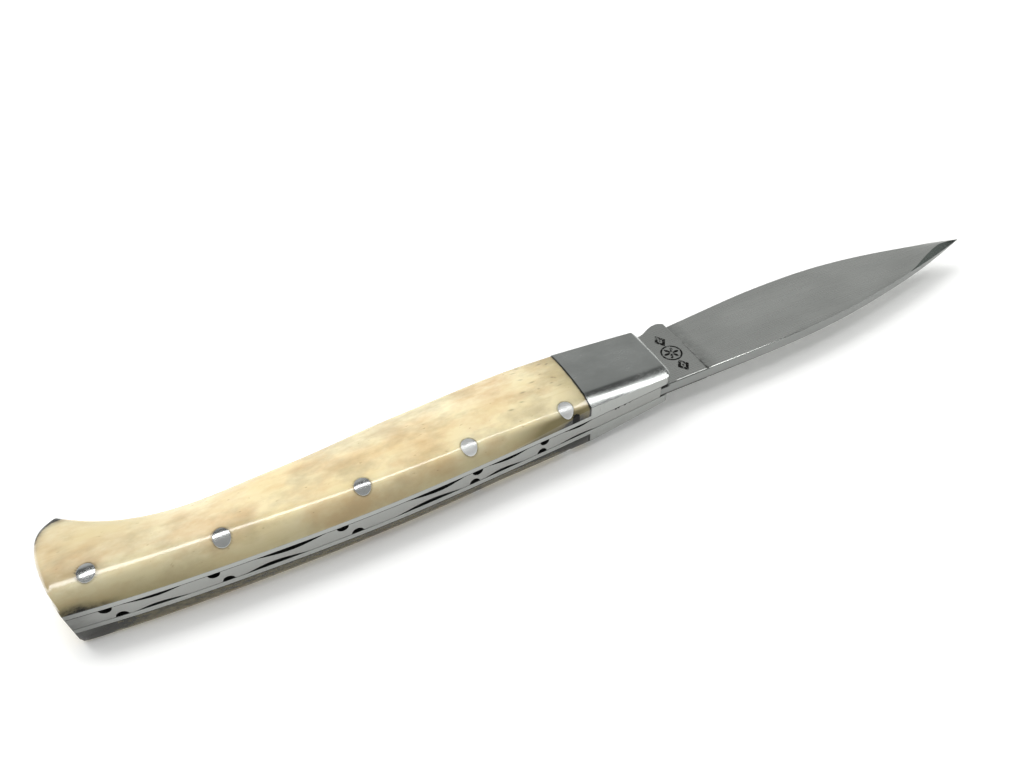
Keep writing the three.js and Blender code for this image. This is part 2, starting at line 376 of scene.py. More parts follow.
def plate_solid(name, outline, low, high, materials):
    """A flat plate with the given plan outline."""
    count = len(outline)
    vertices = np.vstack([
        np.column_stack([outline, np.full(count, low)]),
        np.column_stack([outline, np.full(count, high)]),
    ])
    ring = np.arange(count)
    after = np.roll(ring, -1)
    sides = [tuple(f) for f in np.stack([ring, after, after + count, ring + count], axis=-1)]
    return add_mesh(name, vertices, sides + [tuple(ring[::-1]), tuple(ring + count)], materials)


# ---------------------------------------------------------------- node trees

COLOUR_A, COLOUR_B, MIXED = 6, 7, 2


class Nodes:
    """Short ways to add nodes to a tree. Each gives the new node's output."""

    def __init__(self, tree):
        self.tree = tree

    def node(self, kind, settings=None, inputs=None):
        made = self.tree.nodes.new(kind)
        for key, value in (settings or {}).items():
            setattr(made, key, value)
        for key, value in (inputs or {}).items():
            self.put(made.inputs[key], value)
        return made

    def put(self, socket, value):
        if isinstance(value, bpy.types.NodeSocket):
            self.tree.links.new(value, socket)
        else:
            socket.default_value = value

    def range(self, value, low, high, to_low=0.0, to_high=1.0):
        inputs = {"Value": value, "From Min": low, "From Max": high, "To Min": to_low, "To Max": to_high}
        return self.node("ShaderNodeMapRange", {"clamp": True}, inputs).outputs[0]

    def math(self, operation, a, b=0.0, c=0.0):
        return self.node("ShaderNodeMath", {"operation": operation}, {0: a, 1: b, 2: c}).outputs[0]

    def mix(self, factor, a, b):
        inputs = {0: factor, COLOUR_A: a, COLOUR_B: b}
        return self.node("ShaderNodeMix", {"data_type": "RGBA"}, inputs).outputs[MIXED]

    def split(self, vector):
        return self.node("ShaderNodeSeparateXYZ", None, {0: vector}).outputs


class Shader(Nodes):
    """A node material whose vector inputs are in millimetres of the piece's own space."""

    def __init__(self, name):
        self.material = bpy.data.materials.new(name)
        self.material.use_nodes = True
        super().__init__(self.material.node_tree)
        self.surface = next(n for n in self.tree.nodes if n.type == "BSDF_PRINCIPLED")
        place = self.node("ShaderNodeTexCoord").outputs["Object"]
        self.place = self.scaled(place, (1 / MM, 1 / MM, 1 / MM))

    def set(self, **inputs):
        for key, value in inputs.items():
            self.put(self.surface.inputs[key.replace("_", " ")], value)

    def scaled(self, vector, scale, location=(0, 0, 0)):
        inputs = {"Vector": vector, "Scale": scale, "Location": location}
        return self.node("ShaderNodeMapping", None, inputs).outputs[0]

    def noise(self, scale, stretch=(1, 1, 1), detail=3.0, shift=(0, 0, 0), rough=0.55):
        vector = self.scaled(self.place, stretch, shift)
        inputs = {"Vector": vector, "Scale": scale, "Detail": detail, "Roughness": rough}
        return self.node("ShaderNodeTexNoise", None, inputs).outputs["Fac"]

    def from_point(self, plan_point):
        """X, Y and Z in millimetres from a point given in plan millimetres."""
        centre = tuple(to_frame(plan_point) / MM)
        inputs = {0: self.place, 1: centre}
        local = self.node("ShaderNodeVectorMath", {"operation": "SUBTRACT"}, inputs).outputs[0]
        return self.split(local)

    def attribute(self, name):
        return self.node("ShaderNodeAttribute", {"attribute_name": name}).outputs["Fac"]

    def bump(self, height, strength, distance_mm):
        inputs = {"Strength": strength, "Distance": distance_mm * MM, "Height": height}
        self.put(self.surface.inputs["Normal"], self.node("ShaderNodeBump", None, inputs).outputs[0])


def rgb(red, green, blue):
    """A colour given as 8-bit sRGB values."""
    return tuple(((c / 255 + 0.055) / 1.055) ** 2.4 for c in (red, green, blue)) + (1.0,)


# ---------------------------------------------------------------- materials

BONE_PALE = rgb(244, 234, 196)
BONE_CREAM = rgb(232, 213, 162)
BONE_OCHRE = rgb(206, 166, 116)
BONE_GREY = rgb(168, 152, 118)
BONE_FIBRE = rgb(196, 170, 122)
BONE_FRECKLE = rgb(150, 118, 78)
# Dark olive for the painted shade on the bone's facets, and for its browner tone at the butt.
BONE_TAN_AND_SHADE = rgb(116, 107, 72)
# Near black for stains, and for the painted shade on the lower scale's facet.
BONE_STAIN_AND_SHADE = rgb(28, 27, 20)
BONE_IOR = 1.54
STEEL_SHADE = rgb(60, 62, 60)
BLADE_SHADE = rgb(58, 60, 59)
BLADE_BRIGHT = rgb(206, 208, 205)
GRIME = rgb(46, 46, 44)
GRIME_START = -96
GRIME_LENGTH = 10
ETCHED = rgb(30, 30, 29)
SHADED = rgb(30, 31, 30)
# Near black for the painted shade on the blade's spine.
CORNER_SHADE = rgb(28, 28, 27)
CORNER_FADE = (32, 48)
GAP_END = (18.8, 19.6)
EVEN_BRUSH = (0.3, 0.3, 0.3)
WHITE = (1, 1, 1, 1)
BLACK = (0, 0, 0, 1)


def bone_colour(s, shift, fibres):
    """Pale bone with soft ochre and grey patches, lengthwise fibres and small freckles."""
    cloud = s.noise(0.075, (0.55, 1, 1), 4, shift)
    colour = s.mix(s.range(cloud, 0.35, 0.65), BONE_PALE, BONE_CREAM)
    ochre = s.noise(0.12, (0.6, 1, 1), 5, (shift[0] + 31, shift[1], 7), 0.6)
    colour = s.mix(s.range(ochre, 0.45, 0.66, 0, 0.66), colour, BONE_OCHRE)
    grey = s.noise(0.16, (0.6, 1, 1), 5, (shift[0] + 5, shift[1] + 40, 3), 0.6)
    colour = s.mix(s.range(grey, 0.48, 0.7, 0, 0.55), colour, BONE_GREY)
    colour = s.mix(s.range(fibres, 0.55, 0.8, 0, 0.28), colour, BONE_FIBRE)
    freckles = s.noise(1.6, (0.45, 1, 1), 2, (9, shift[0], 2))
    return s.mix(s.range(freckles, 0.7, 0.78, 0, 0.5), colour, BONE_FRECKLE)


def bone_material(name, shift):
    """Polished bone, darker and duller where the piece's own attributes say so: real stains and a browner
    tone, and painted shade on the facets.
    """
    s = Shader(name)
    fibres = s.noise(0.9, (0.08, 1, 1), 4, shift, 0.7)
    breakup = s.range(s.noise(1.1, (0.7, 1, 1), 4, (3, 8, shift[0])), 0.3, 0.7, 0.6, 1.3)
    tan = s.attribute("tan")
    stain_and_shade = s.range(s.math("MULTIPLY", s.attribute("stain_and_shade"), breakup), 0.0, 1.0)
    colour = s.mix(tan, bone_colour(s, shift, fibres), BONE_TAN_AND_SHADE)
    s.set(Base_Color=s.mix(stain_and_shade, colour, BONE_STAIN_AND_SHADE), IOR=BONE_IOR)
    s.set(Roughness=s.range(s.noise(0.5, detail=3), 0.3, 0.7, 0.14, 0.22))
    s.set(Subsurface_Weight=0.18, Subsurface_Radius=(1.0, 0.72, 0.4), Subsurface_Scale=0.0012)
    polish = s.range(s.math("MAXIMUM", stain_and_shade, tan), 0.4, 0.9, 1.0, 0.0)
    s.set(Coat_Weight=polish, Coat_Roughness=0.08)
    wave = s.math("ADD", s.noise(0.22, (0.5, 1, 1), 3), s.math("MULTIPLY", fibres, 0.15))
    s.bump(s.math("SUBTRACT", wave, s.math("MULTIPLY", s.attribute("stain_and_shade"), 0.4)), 0.22, 0.12)
    return s.material


def spine_corner_shade(s):
    """1 where shade is painted on the blade's spine: along its corners, fading to the tip, and wide at the
    liners.
    """
    x, _, z = s.from_point((0, 0, 0))
    corner = s.range(s.math("ABSOLUTE", z), 0.95, 1.2, 0.0, 0.85)
    fading = s.math("MULTIPLY", corner, s.range(x, *CORNER_FADE, 1.0, 0.0))
    gap = s.math("MULTIPLY", s.range(z, 0.45, 0.6), s.range(x, *GAP_END, 1.0, 0.0))
    return s.math("MAXIMUM", fading, gap)


def steel_material(name, colour, roughness, brush, strength, mottling=0.5, grime=0.0, shade=None):
    """Satin steel. brush is the stretch of the grind lines in X, Y and Z, and grime darkens the butt.

    shade gives the nodes that say where shade is painted on the steel.
    """
    s = Shader(name)
    lines = s.noise(6.0, brush, 3, rough=0.7)
    clouds = s.noise(0.22, (0.6, 1, 1), 4)
    cloudy = s.range(clouds, 0.3, 0.7, 1 - 0.12 * mottling, 1.0)
    lined = s.range(lines, 0.3, 0.7, 0.93, 1.0)
    steel = s.mix(s.math("MULTIPLY", cloudy, lined), STEEL_SHADE, rgb(*colour))
    if grime:
        near_butt = s.range(s.from_point((GRIME_START, 0, 0))[0], 0, GRIME_LENGTH, grime, 0.0)
        patchy = s.range(clouds, 0.35, 0.6, 0.6, 1.0)
        steel = s.mix(s.math("MULTIPLY", near_butt, patchy), steel, GRIME)
    # Painted shade: near black where shade gives it.
    if shade:
        steel = s.mix(shade(s), steel, CORNER_SHADE)
    s.set(Base_Color=steel, Metallic=1.0)
    worn = s.range(clouds, 0.35, 0.7, -0.04, 0.07)
    ground = s.range(lines, 0.3, 0.7, roughness - 0.05, roughness + 0.05)
    s.set(Roughness=s.math("ADD", worn, ground))
    s.bump(lines, strength, 0.02)
    return s.material


def blade_material():
    """The blade's steel, with lengthwise grind lines, a shaded plunge and an etched ornament."""
    s = Shader("blade_steel")
    lines = s.noise(3.6, (0.012, 1, 1), 4, rough=0.7)
    clouds = s.noise(0.09, (0.5, 1, 1), 4)
    cloudy = s.range(clouds, 0.3, 0.7, 0.8, 1.0)
    lined = s.range(lines, 0.25, 0.75, 0.93, 1.0)
    steel = s.mix(s.math("MULTIPLY", cloudy, lined), BLADE_SHADE, BLADE_BRIGHT)
    steel = s.mix(plunge_shade(s), steel, SHADED)
    mark = etched_mark(s)
    s.set(Base_Color=s.mix(mark, steel, ETCHED), Metallic=1.0)
    ground = s.range(lines, 0.3, 0.7, 0.25, 0.32)
    s.set(Roughness=s.math("ADD", ground, s.math("MULTIPLY", mark, 0.3)))
    s.bump(s.math("SUBTRACT", lines, s.math("MULTIPLY", mark, 2.0)), 0.07, 0.02)
    return s.material


PLUNGE_LINE_X = 28.85
PLUNGE_BOW = 0.03
RICASSO_SHADE = 0.1


def plunge_shade(s):
    """A painted shadow line where the grind begins, a painted soft shade on the blade's side of it, and a
    darker ricasso.
    """
    x, y, _ = s.from_point((PLUNGE_LINE_X, 0, 0))
    bowed = s.math("SUBTRACT", x, s.math("MULTIPLY", y, PLUNGE_BOW))
    line = s.range(s.math("ABSOLUTE", bowed), 0.18, 0.55, 0.95, 0.0)
    fading = s.range(bowed, 0.3, 3.6, 0.42, 0.0)
    soft = s.math("MULTIPLY", fading, s.math("GREATER_THAN", bowed, 0.0))
    patchy = s.range(s.noise(0.8, detail=3), 0.3, 0.6, 0.35, 1.0)
    ricasso = s.math("MULTIPLY", s.math("LESS_THAN", bowed, 0.0), RICASSO_SHADE)
    return s.math("MAXIMUM", s.math("MULTIPLY", s.math("MAXIMUM", line, soft), patchy), ricasso)


MARK_CENTRE = (24.9, 8.4)
MARK_SPACING = 4.3
PETAL_REACH = 1.75
PETAL_GAP = 0.3
RING_RADIUS = 2.15
RING_HALF = 0.2
DIAMOND_SLOPES = (0.75, 0.52)


def rosette(s, x, y):
    """1 inside six petals and the ring round them."""
    radius = s.math("SQRT", s.math("ADD", s.math("MULTIPLY", x, x), s.math("MULTIPLY", y, y)))
    petals = s.math("ABSOLUTE", s.math("COSINE", s.math("MULTIPLY", s.math("ARCTAN2", y, x), 3.0)))
    inside = s.math("LESS_THAN", radius, s.math("MULTIPLY", petals, PETAL_REACH))
    petal = s.math("MULTIPLY", inside, s.math("GREATER_THAN", radius, PETAL_GAP))
    return s.math("MAXIMUM", petal, s.math("COMPARE", radius, RING_RADIUS, RING_HALF))


def diamond(s, x, y):
    """1 inside an open diamond and the dot in its middle."""
    along = s.math("MULTIPLY", s.math("ABSOLUTE", x), DIAMOND_SLOPES[0])
    across = s.math("MULTIPLY", s.math("ABSOLUTE", y), DIAMOND_SLOPES[1])
    span = s.math("ADD", along, across)
    outline = s.math("MULTIPLY", s.math("LESS_THAN", span, 1.0), s.math("GREATER_THAN", span, 0.42))
    return s.math("MAXIMUM", outline, s.math("LESS_THAN", span, 0.2))


def etched_mark(s):
    """1 inside the etched ornament on the blade's upper side: a rosette between two diamonds."""
    x, y, z = s.from_point((*MARK_CENTRE, 0))
    mark = rosette(s, x, y)
    for side in (-1, 1):
        mark = s.math("MAXIMUM", mark, diamond(s, x, s.math("SUBTRACT", y, side * MARK_SPACING)))
    upper = s.math("GREATER_THAN", z, 1.0)
    worn = s.range(s.noise(2.4, detail=3), 0.36, 0.46)
    return s.math("MULTIPLY", s.math("MULTIPLY", mark, upper), worn)


def groove_material():
    """Painted shade: near black in the filed grooves and the seams along the spring, where shade falls;
    also the black of the flaw in the bone.
    """
    s = Shader("groove_shade_and_flaw")
    grime = s.noise(1.4, detail=4)
    s.set(Base_Color=s.mix(s.range(grime, 0.4, 0.75), rgb(12, 12, 12), rgb(38, 38, 36)))
    s.set(Roughness=s.range(grime, 0.3, 0.7, 0.5, 0.8), Specular_IOR_Level=0.2)
    s.bump(grime, 0.4, 0.05)
    return s.material


bone_upper = bone_material("bone_upper", (0, 0, 0))
bone_lower = bone_material("bone_lower", (120, 60, 30))
blade_steel = blade_material()
bolster_steel = steel_material("bolster_steel", (192, 195, 193), 0.2, (0.05, 1, 1), 0.06, 1.6)
liner_steel = steel_material("liner_steel", (176, 178, 175), 0.34, (1, 0.06, 0.06), 0.25, grime=0.7)
spring_steel = steel_material("spring_steel", (166, 167, 164), 0.36, (1, 0.05, 0.05), 0.35, grime=0.7)
# Painted shade: a darker copy of the blade steel on the swedge facets toward the tip.
shaded_swedge_steel = steel_material("shaded_swedge_steel", (124, 132, 128), 0.26, (0.3, 1, 1), 0.05)
spine_steel = steel_material("spine_steel", (146, 148, 146), 0.36, (1, 0.05, 0.05), 0.3, shade=spine_corner_shade)
pin_steel = steel_material("pin_steel", (205, 207, 206), 0.2, EVEN_BRUSH, 0.01, 0.1)
# Painted highlight: a lighter copy of the pin steel, so the short rivets read white.
lit_rivet_steel = steel_material("lit_rivet_steel", (240, 241, 240), 0.42, EVEN_BRUSH, 0.01, 0.1)
groove_shade_and_flaw = groove_material()

# ---------------------------------------------------------------- scales

VOID_X = -3.5
VOID_HALF = 0.8
VOID_DEPTH = 0.35
SCALE_ROWS = 440
SCALE_COLUMNS = 110
FRONT_SPACING = 0.35
FACET_FADE = 1.2
BEAK_START = 11.5
BEAK_FADE = 5
# Spots of stain as (strength, X, Y, half length, half width). The Y of SPINE_SPOTS is from the spine.
BEAK_SPOT = (1.1, -94.8, 20.6, 1.9, 1.7)
SPINE_SPOTS = [(1.2, -93.6, 0.1, 2.6, 0.75), (0.5, -89.5, 0.1, 2.6, 0.4)]
PORES = 15
PORE_DARKNESS = 0.5
# Painted shade on the lower scale's facet beside the liner, in both bone attributes.
LOWER_FACET_SHADE = 0.72
LOWER_SHADE = 0.45


def seam_stain(x):
    """Dirt in the joint between bone and bolster."""
    away = BONE_END - x
    return 1.5 * gauss(away, 0.26) + 0.16 * np.exp(-away / 1.6)


def pin_stain(x, y):
    """A dark ring round each pin and a faint halo."""
    stain_and_shade = 0
    for px, py, _ in PIN_PLACES:
        away = np.hypot(x - px, y - py) - PIN_RADIUS
        stain_and_shade = stain_and_shade + 0.62 * gauss(away - 0.03, 0.16) + 0.1 * gauss(away, 0.9)
    return stain_and_shade


def butt_stain(x, y, n, e):
    """Dark bone round the beak, and along the spine's corner at the butt."""
    rim = 0.9 * gauss(e - 0.6, 0.55) + 0.3 * gauss(e - 0.9, 1.1)
    stain_and_shade = rim * smooth_step((y - BEAK_START) / BEAK_FADE)
    for across, spots in ((y, [BEAK_SPOT]), (n, SPINE_SPOTS)):
        for strength, centre_x, centre_y, long, wide in spots:
            stain_and_shade = stain_and_shade + strength * spot((x - centre_x) / long, (across - centre_y) / wide)
    return stain_and_shade


def foot_darkening(x, n, at_foot):
    """Darker at the bone's foot on the liner, and darkest beside the front rivet."""
    return at_foot * (0.6 + 1.3 * gauss(x + 4.4, 1.9)) + 0.5 * gauss(x + 3.4, 1.3) * gauss(n, 0.5)


def pore_stain(x, y):
    """Short dark pores, most of them near the bolster."""
    random = np.random.default_rng(7)
    stain_and_shade = 0
    for _ in range(PORES):
        dx = x + 1.2 + 16 * random.random() ** 1.4
        dy = y - 5.0 - 10.5 * random.random()
        long = 0.25 + 0.4 * random.random()
        wide = 0.09 + 0.1 * random.random()
        tilt = random.normal(0, 0.25)
        stain_and_shade = stain_and_shade + PORE_DARKNESS * spot((dx + tilt * dy) / long, (dy - tilt * dx) / wide)
    return stain_and_shade


def bone_stain_and_shade(x, y, side, at_foot):
    """How dark the bone is stained, with painted shade added on the lower scale's facet. Values over 1 stay
    black where the stain is broken up.
    """
    n, _, e = edge_distances(x, y)
    stain_and_shade = seam_stain(x) + pin_stain(x, y) + butt_stain(x, y, n, e)
    stain_and_shade = stain_and_shade + foot_darkening(x, n, at_foot) + pore_stain(x, y)
    # Painted shade: the lower scale's facet beside the liner is darkened as if in shadow.
    if side < 0:
        stain_and_shade = stain_and_shade + LOWER_FACET_SHADE * smooth_step((ramp(x, FACET_WIDTH[side]) + 0.7 - n) / FACET_FADE)
    return np.clip(stain_and_shade, 0, 2)


def bone_tan_and_shade(x, y, side):
    """How much darker the bone is: painted shade on the facet beside the liner, more toward the bolster;
    darker beside the bolster, and a browner tone at the butt and along the belly.
    """
    n, m, _ = edge_distances(x, y)
    width = ramp(x, FACET_WIDTH[side]) + 0.6
    # Painted shade on the facet beside the liner, darkest toward the liner.
    facet = smooth_step((width - n) / FACET_FADE)
    beside_liner = 0.2 * facet + 0.4 * smooth_step(1 - n / width)
    rear = 0.22 * smooth_step((-66 - x) / 22) + 0.12 * smooth_step(1 - m / 2.5)
    front = smooth_step((x + 20) / 18) * (0.06 + 0.66 * facet) + 0.5 * np.exp(-(BONE_END - x) / 3.2)
    # Painted shade: the lower scale's facet is darker still.
    shade = LOWER_SHADE * facet if side < 0 else 0
    return np.clip(beside_liner + rear + front + shade, 0, 0.95)


def blacken_void(piece):
    """A small black flaw in the bone's wall, beside the front rivet."""
    piece.data.materials.append(groove_shade_and_flaw)
    for face in piece.data.polygons:
        x, y, _ = to_plan(face.center)
        edge = spine_at(x)[0] + VOID_DEPTH * (1 - ((x - VOID_X) / VOID_HALF) ** 2)
        if y < edge and abs(x - VOID_X) < VOID_HALF:
            face.material_index = 1


def cross_line(near, far, count):
    """Points on a straight line across the plan."""
    return near + (far - near) * np.linspace(0, 1, count)[:, None]


def make_scale(side, side_name, material):
    """A bone scale. Its rows lie closer together near the bolster."""
    u = np.linspace(0, 1, SCALE_ROWS)
    u = u * (FRONT_SPACING + (1 - FRONT_SPACING) * u)
    near = along_line(spine_at, BONE_END + (SPINE_LINE[-1][0] - BONE_END) * u)
    far = along_line(belly_at, BONE_END + (BELLY_LINE[0][0] - BONE_END) * u)
    end = cross_line(near[-1], far[-1], SCALE_COLUMNS)
    end[1:-1, 0] = butt_at(end[1:-1, 1])[0]
    plan = coons_patch(near, far, cross_line(near[0], far[0], SCALE_COLUMNS), end)
    height = bone_height(plan[..., 0], plan[..., 1], side)
    piece = cover_solid(f"bone_scale_{side_name}", plan, height, side, [material])
    x, y, z = to_plan([vertex.co for vertex in piece.data.vertices]).T
    at_foot = np.abs(z) < LINER_FACE + 0.01
    set_attribute(piece, "stain_and_shade", bone_stain_and_shade(x, y, side, at_foot))
    set_attribute(piece, "tan", bone_tan_and_shade(x, y, side))
    if side > 0:
        blacken_void(piece)
    place_piece(piece, "handle", f"scale_{side_name}")


make_scale(1, "upper", bone_upper)
make_scale(-1, "lower", bone_lower)

# ---------------------------------------------------------------- bolsters and liners

BOLSTER_ROWS = 90
BOLSTER_COLUMNS = 96
CORNER_POINTS = 16
OUTLINE_POINTS = 300
END_POINTS = 60


def front_line(count):
    """The bolster's front edge in plan, from the spine round to the belly, with rounded corners."""
    spine_y = spine_at(FRONT - CORNER)[0]
    belly_y = belly_at(FRONT - CORNER)[0]
    turn = np.linspace(0, math.pi / 2, CORNER_POINTS)
    corner_x = FRONT - CORNER + CORNER * np.sin(turn)
    near = np.column_stack([corner_x, spine_y + CORNER * (1 - np.cos(turn))])
    far = np.column_stack([near[::-1, 0], belly_y - (near[::-1, 1] - spine_y)])
    line = np.vstack([near, far])
    length = np.concatenate([[0], np.cumsum(np.hypot(*np.diff(line, axis=0).T))])
    even = np.linspace(0, length[-1], count)
    return np.column_stack([np.interp(even, length, line[:, i]) for i in range(2)])


def make_bolster(side, side_name):
    """A steel bolster. Its walls have the liner's duller steel."""
    x = np.linspace(BOLSTER_START, FRONT - CORNER, BOLSTER_ROWS)
    near = along_line(spine_at, x)
    far = along_line(belly_at, x)
    end = front_line(BOLSTER_COLUMNS)
    end[0], end[-1] = near[-1], far[-1]
    plan = coons_patch(near, far, cross_line(near[0], far[0], BOLSTER_COLUMNS), end)
    height = bolster_height(plan[..., 0], plan[..., 1])
    materials = [bolster_steel, liner_steel]
    piece = cover_solid(f"steel_bolster_{side_name}", plan, height, side, materials)
    place_piece(piece, "handle", f"bolster_{side_name}")


def handle_outline():
    """The handle in plan, from the front of the spine round the butt and along the belly."""
    spine = along_line(spine_at, np.linspace(FRONT - CORNER, SPINE_LINE[-1][0], OUTLINE_POINTS))
    butt = smooth_line(BUTT_LINE, END_POINTS)[1:-1]
    belly = along_line(belly_at, np.linspace(BELLY_LINE[0][0], FRONT - CORNER, OUTLINE_POINTS))
    return np.vstack([spine, butt, belly, front_line(END_POINTS)[::-1][1:-1]])


def make_liner(side, side_name):
    low, high = sorted((side * SLOT_HALF, side * LINER_FACE))
    piece = plate_solid(f"steel_liner_{side_name}", handle_outline(), low, high, [liner_steel])
    place_piece(piece, "handle", f"liner_{side_name}")


for side, side_name in SIDES:
    make_bolster(side, side_name)
    make_liner(side, side_name)

# ---------------------------------------------------------------- pins

PIN_DOME = 0.1
PIN_PROUD = 0.05
HEAD_FOOT = 0.3
SHANK_RADIUS = 0.9
RING_POINTS = 72
RING_SHARES = (*np.linspace(0.06, 0.92, 14), 0.97, 1.0)
RIVET_POINT = {"front_rivet": 0.0, "bolster_rivet": 0.1}
RIVET_GAP = 0.02


def pin_rings(x, y, side, point=0.0):
    """Rings of a pin's end, from the middle of its head down to the shank.

    The head follows the bone's face, and its rim is flush with it. point draws the head out toward the
    spine, like a drop.
    """
    turn = np.linspace(0, 2 * math.pi, RING_POINTS, endpoint=False)
    cos, sin = np.cos(turn), np.sin(turn)
    rings = []
    for share in RING_SHARES:
        r = PIN_RADIUS * share * (1 + point * np.clip(-sin, 0, 1) ** 5)
        px, py = x + r * cos, y + r * sin
        dome = PIN_PROUD + PIN_DOME * (1 - share ** 2) if share < 1 else 0
        face = np.minimum(bone_height(px, py, side) + dome, HANDLE_FACE)
        rings.append(np.column_stack([px, py, side * face]))
    foot = np.full(RING_POINTS, side * (LINER_FACE + HEAD_FOOT))
    rings.append(np.column_stack([rings[-1][:, :2], foot]))
    rings.append(np.column_stack([x + SHANK_RADIUS * cos, y + SHANK_RADIUS * sin, foot]))
    return rings


def closed_turning(name, rings, materials):
    """A closed solid through rings that follow each other, with a point in the middle of each end."""
    size = len(rings[0])
    vertices = np.vstack([*rings, rings[0].mean(0), rings[-1].mean(0)])
    first, last = len(vertices) - 2, len(vertices) - 1
    end = first - size
    faces = [tuple(f) for f in ring_faces(len(rings), size)]
    faces += [(first, (j + 1) % size, j) for j in range(size)]
    faces += [(last, end + j, end + (j + 1) % size) for j in range(size)]
    return add_mesh(name, vertices, faces, materials, sharp=50)


def make_through_pin(name):
    x, y, _ = plan_centre(name)
    rings = pin_rings(x, y, 1) + pin_rings(x, y, -1)[::-1]
    place_piece(closed_turning(f"steel_{name}", rings, [pin_steel]), "handle", name)


def make_rivet(name, side, point):
    x, y, _ = plan_centre(name)
    rings = pin_rings(x, y, side, point)
    inner = np.full(RING_POINTS, side * (SLOT_HALF + RIVET_GAP))
    rings.append(np.column_stack([rings[-1][:, :2], inner]))
    place_piece(closed_turning(f"steel_{name}", rings, [lit_rivet_steel]), "handle", name)


for name in THROUGH_PINS:
    make_through_pin(name)
for name in SHORT_RIVETS:
    for side, side_name in SIDES:
        make_rivet(f"{name}_{side_name}", side, RIVET_POINT[name])
pivot_materials = frame["nodes"]["pivot_pin"].data.materials
for slot_index in range(len(pivot_materials)):
    pivot_materials[slot_index] = pin_steel

# ---------------------------------------------------------------- back spring

SPRING_HALF = SLOT_HALF - 0.02
SEAM_WIDTH = 0.08
GROOVE_DEPTH = 1.5
MOON_DEPTH = 1.12
CHIP_DEPTH = 0.42
STATION_STEP = 0.1
FINE_END = -88.0
CORNER_STATIONS = 78
BUTT_STATIONS = 80
TAIL_END_Y = 15.2
TAIL_INNER = [(-89.6, 9.6), (-91.6, 14.6)]
# The filed pattern of each edge: half-moons as (start, end), leaves as (start, thickest, end, depth).
UPPER_MOONS = [(-90.8, -88.7), (-73.8, -71.7), (-51.9, -49.7), (-25.9, -23.7), (-11.5, -9.5)]
LOWER_MOONS = [(-89.0, -86.9), (-72.0, -69.9), (-49.6, -47.4), (-26.7, -24.6), (-12.2, -10.1)]
UPPER_LEAVES = [(-88.2, -82.0, -77.0, 0.65), (-67.2, -59.9, -52.7, 0.95), (-40.3, -32.4, -26.4, 0.95),
                (-23.4, -18.2, -13.2, 0.7), (-7.2, -2.8, 1.2, 0.55)]
LOWER_LEAVES = [(-86.8, -82.4, -76.2, 0.65), (-69.2, -63.4, -56.2, 0.9), (-42.4, -34.6, -27.1, 0.9),
                (-24.3, -19.9, -14.2, 0.7), (-8.4, -3.0, 2.6, 0.5)]
# Small nicks beside the bolster as (centre, half width).
CHIPS = [(5.9, 0.28), (6.6, 0.2), (8.1, 0.22), (9.3, 0.12)]


def filed_depth(x, moons, leaves, chips):
    """How far the filing reaches in from the spring's edge at each x."""
    depth = np.full_like(x, SEAM_WIDTH)
    for start, end in moons:
        t = (x - (start + end) / 2) / ((end - start) / 2)
        depth = np.maximum(depth, MOON_DEPTH * np.sqrt(np.clip(1 - t ** 2, 0, None)))
    for start, thickest, end, deepest in leaves:
        t = np.where(x < thickest, (x - start) / (thickest - start), (end - x) / (end - thickest))
        depth = np.maximum(depth, deepest * np.sin(np.clip(t, 0, 1) * math.pi / 2) ** 1.6)
    for centre, width in chips:
        depth = np.maximum(depth, CHIP_DEPTH * gauss(x - centre, width))
    return depth


def spring_stations():
    """Pairs of points on the spring's outer and inner edges, from its nose to its end in the butt."""
    fine = np.arange(SPRING_END, FINE_END, -STATION_STEP)
    inner_y = np.where(fine > NOSE_FOOT[0][0], ramp(fine, NOSE_FOOT), spring_inner_at(fine)[0])
    corner = along_line(spine_at, np.linspace(FINE_END, SPINE_LINE[-1][0], CORNER_STATIONS)[1:])
    butt = smooth_line(BUTT_LINE, BUTT_STATIONS)
    butt = butt[butt[:, 1] < TAIL_END_Y][1:]
    outer = np.vstack([along_line(spine_at, fine), corner, butt])
    tail_count = len(corner) + len(butt)
    tail = smooth_line([(FINE_END, spring_inner_at(FINE_END)[0]), *TAIL_INNER], tail_count + 1)[1:]
    return outer, np.vstack([np.column_stack([fine, inner_y]), tail])


def make_spring():
    """The back spring: eight lines round it, with the filed pattern cut into its two outer edges."""
    outer, inner = spring_stations()
    inward = inner - outer
    inward = inward / np.linalg.norm(inward, axis=1)[:, None]
    groove = outer + GROOVE_DEPTH * inward
    filed_up = SPRING_HALF - filed_depth(outer[:, 0], UPPER_MOONS, UPPER_LEAVES, CHIPS)
    filed_low = filed_depth(outer[:, 0], LOWER_MOONS, LOWER_LEAVES, []) - SPRING_HALF
    full = np.full(len(outer), SPRING_HALF)
    ring = [
        (outer, filed_up), (groove, filed_up), (groove, full), (inner, full),
        (inner, -full), (groove, -full), (groove, filed_low), (outer, filed_low),
    ]
    vertices = np.stack([np.column_stack([line, z]) for line, z in ring], axis=1).reshape(-1, 3)
    size = len(ring)
    faces = [tuple(f) for f in ring_faces(len(outer), size)]
    # The filed strips and seams on both edges take the near black of painted shade.
    in_groove = {0, 1, 5, 6}
    slots = [1 if k % size in in_groove else 0 for k in range(len(faces))]
    caps = [tuple(range(size))[::-1], tuple(range(len(vertices) - size, len(vertices)))]
    materials = [spring_steel, groove_shade_and_flaw]
    return add_mesh("filed_back_spring", vertices, faces + caps, materials, slots + [0, 0], sharp=30)


spring = make_spring()
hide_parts("back_spring")
bend_start = np.array(flex_joint["pos_m"])
bend_end = to_frame((PIVOT[0], 0, 0))
bend_end[1:] = bend_start[1:]
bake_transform(spring)

# ---------------------------------------------------------------- blade

